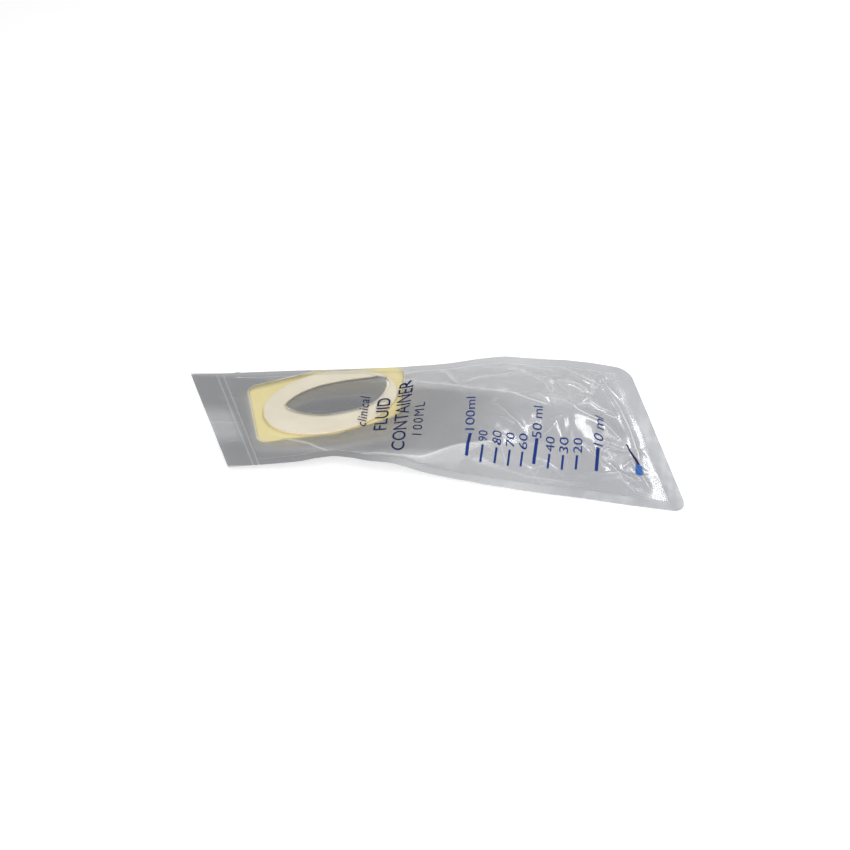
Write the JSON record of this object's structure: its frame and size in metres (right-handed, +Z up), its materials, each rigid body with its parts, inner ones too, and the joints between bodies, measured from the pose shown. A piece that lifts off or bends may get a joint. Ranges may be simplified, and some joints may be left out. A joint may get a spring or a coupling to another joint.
{
  "type": "urine collection bag",
  "caption": "Clear welded-film paediatric urine collection bag with an adhesive foam pad under a peel-off liner, a printed volume scale and a slanted drain end.",
  "frame": {"origin": "centre of the bounding box at its base, on the surface the bag lies on", "axes": "+X along the bag from the header to the drain end, +Y from the front edge to the rear edge, +Z up"},
  "size_m": [0.2446, 0.0948, 0.0207],
  "materials": {
    "clear_film": "clear soft polyethylene film, slightly hazy, wrinkled",
    "weld": "heat sealed film margin, hazy",
    "foam": "off-white soft foam",
    "adhesive": "thin tacky skin adhesive",
    "liner_paper": "pale yellow silicone release paper",
    "ink_navy": "printed ink",
    "ink_blue": "printed ink"
  },
  "bodies": {
    "bag": {"printed_film": "clear_film", "opening_film": "clear_film", "header_front_sheet": "clear_film", "header_back_sheet": "clear_film", "top_weld": "weld", "bottom_weld": "weld", "front_side_weld": "weld", "rear_side_weld": "weld", "film_adhesive_ring": "adhesive", "foam_ring": "foam", "skin_adhesive_ring": "adhesive", "graduation_ticks": "ink_navy", "graduation_numerals": "ink_navy", "label_print": "ink_navy", "drain_mark": "ink_blue"},
    "liner": {"release_liner": "liner_paper"}
  },
  "joints": [
    {"name": "liner_peel", "type": "hinge", "parent": "bag", "child": "liner", "pos_m": [-0.01027, 0.0187, 0.00795], "axis": [0.199, -0.98, 0.0039], "range_deg": [0, 145]}
  ]
}
